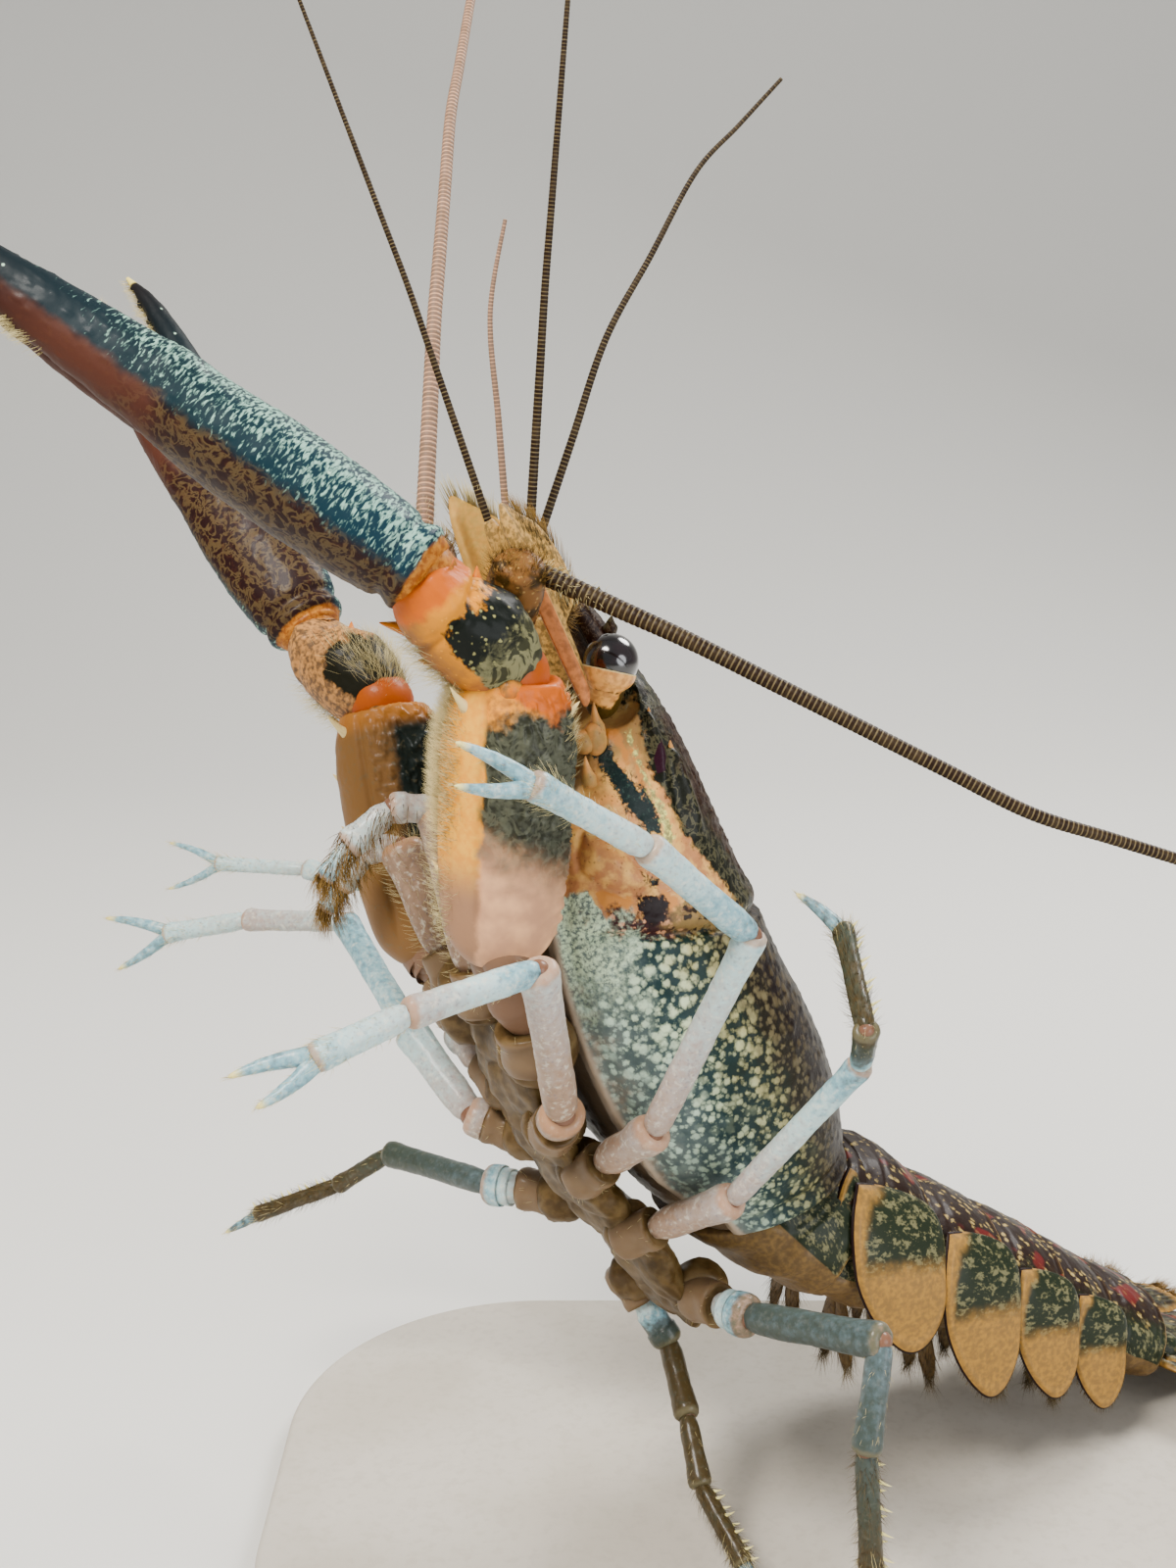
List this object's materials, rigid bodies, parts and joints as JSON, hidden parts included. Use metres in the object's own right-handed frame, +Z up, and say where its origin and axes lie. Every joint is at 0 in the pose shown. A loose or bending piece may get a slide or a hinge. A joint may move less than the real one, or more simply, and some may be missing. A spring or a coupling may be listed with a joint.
{
  "type": "crayfish model on a flat base",
  "caption": "Life-size still model of a freshwater crayfish reared up on its tail, claws raised, on a plain flat base.",
  "frame": {"origin": "centre of the base's flat underside", "axes": "+Z up out of the base; +X toward the end of the base that the tail lies on; +Y away from the animal's left side"},
  "size_m": [0.1661, 0.1108, 0.1964],
  "materials": {
    "shell_speckled": "satin",
    "shell_head": "satin",
    "shell_tail": "satin",
    "claw_shell": "satin",
    "claw_joint": "satin",
    "leg_shell": "satin",
    "joint_skin": "matte",
    "stalk_skin": "satin",
    "eye_black": "glossy",
    "feeler": "matte",
    "stand_plate": "matte"
  },
  "bodies": {
    "root": {"abdomen_1": "shell_tail", "abdomen_2": "shell_tail", "abdomen_3": "shell_tail", "abdomen_4": "shell_tail", "abdomen_5": "shell_tail", "abdomen_6": "shell_tail", "antenna_left_base": "feeler", "antenna_left_whip": "feeler", "antenna_right_base": "feeler", "antenna_right_whip": "feeler", "antenna_scale_left": "joint_skin", "antenna_scale_right": "joint_skin", "antenna_stalk_left": "joint_skin", "antenna_stalk_right": "joint_skin", "antennule_left_inner": "feeler", "antennule_left_outer": "feeler", "antennule_right_inner": "feeler", "antennule_right_outer": "feeler", "antennule_stalk_left": "joint_skin", "antennule_stalk_right": "joint_skin", "carapace_head": "shell_head", "carapace_thorax": "shell_speckled", "claw_left_arm": "claw_shell", "claw_left_finger": "claw_shell", "claw_left_hand": "claw_shell", "claw_left_wrist": "claw_joint", "claw_right_arm": "claw_shell", "claw_right_finger": "claw_shell", "claw_right_hand": "claw_shell", "claw_right_wrist": "claw_joint", "eye_left": "eye_black", "eye_right": "eye_black", "eyestalk_left": "stalk_skin", "eyestalk_right": "stalk_skin", "leg_left_2_lower": "leg_shell", "leg_left_2_upper": "leg_shell", "leg_left_3_lower": "leg_shell", "leg_left_3_upper": "leg_shell", "leg_left_4_lower": "leg_shell", "leg_left_4_upper": "leg_shell", "leg_left_5_lower": "leg_shell", "leg_left_5_upper": "leg_shell", "leg_right_2_lower": "leg_shell", "leg_right_2_upper": "leg_shell", "leg_right_3_lower": "leg_shell", "leg_right_3_upper": "leg_shell", "leg_right_4_lower": "leg_shell", "leg_right_4_upper": "leg_shell", "leg_right_5_lower": "leg_shell", "leg_right_5_upper": "leg_shell", "mouth_leg_left": "claw_joint", "mouth_leg_right": "claw_joint", "stand_base": "stand_plate", "sternum": "joint_skin", "telson": "shell_tail", "uropod_left": "shell_tail", "uropod_right": "shell_tail"}
  },
  "joints": []
}
